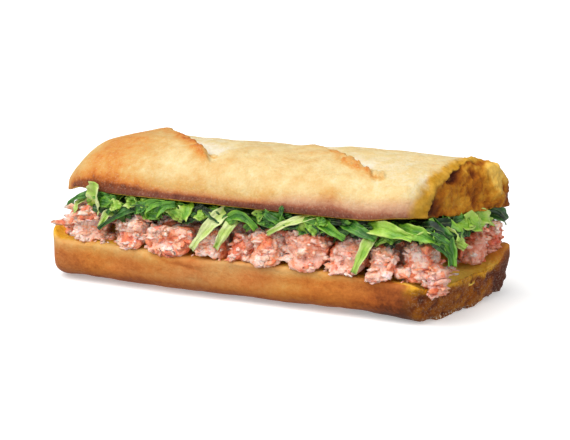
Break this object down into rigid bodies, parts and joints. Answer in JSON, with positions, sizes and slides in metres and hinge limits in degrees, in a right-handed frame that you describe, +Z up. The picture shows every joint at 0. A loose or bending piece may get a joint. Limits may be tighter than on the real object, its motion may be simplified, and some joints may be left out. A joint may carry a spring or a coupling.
{
  "type": "lobster roll",
  "caption": "Crusty bread roll split lengthwise and filled with chunky lobster salad under shredded lettuce, crown set back a little over the heel.",
  "frame": {"origin": "centre of the bounding box at the level that the roll stands on", "axes": "+X along the roll towards its roughly cut end, -Y towards the front that the picture shows, +Z up"},
  "size_m": [0.2074, 0.075, 0.0681],
  "materials": {
    "bread": "baked golden crust, matte, floury in places",
    "lobster": "moist pinkish-white meat with orange-red patches",
    "lettuce": "moist leaf, green to pale yellow-green"
  },
  "bodies": {
    "root": {"heel": "bread", "crown": "bread", "lobster_chunk_01": "lobster", "lobster_chunk_02": "lobster", "lobster_chunk_03": "lobster", "lobster_chunk_04": "lobster", "lobster_chunk_05": "lobster", "lobster_chunk_06": "lobster", "lobster_chunk_07": "lobster", "lobster_chunk_08": "lobster", "lobster_chunk_09": "lobster", "lobster_chunk_10": "lobster", "lobster_chunk_11": "lobster", "lobster_chunk_12": "lobster", "lobster_chunk_13": "lobster", "lobster_chunk_14": "lobster", "lobster_chunk_15": "lobster", "lobster_chunk_16": "lobster", "lobster_chunk_17": "lobster", "lobster_chunk_18": "lobster", "lobster_chunk_19": "lobster", "lobster_chunk_20": "lobster", "lobster_chunk_21": "lobster", "lobster_chunk_22": "lobster", "lobster_salad": "lobster", "lettuce": "lettuce"}
  },
  "joints": []
}
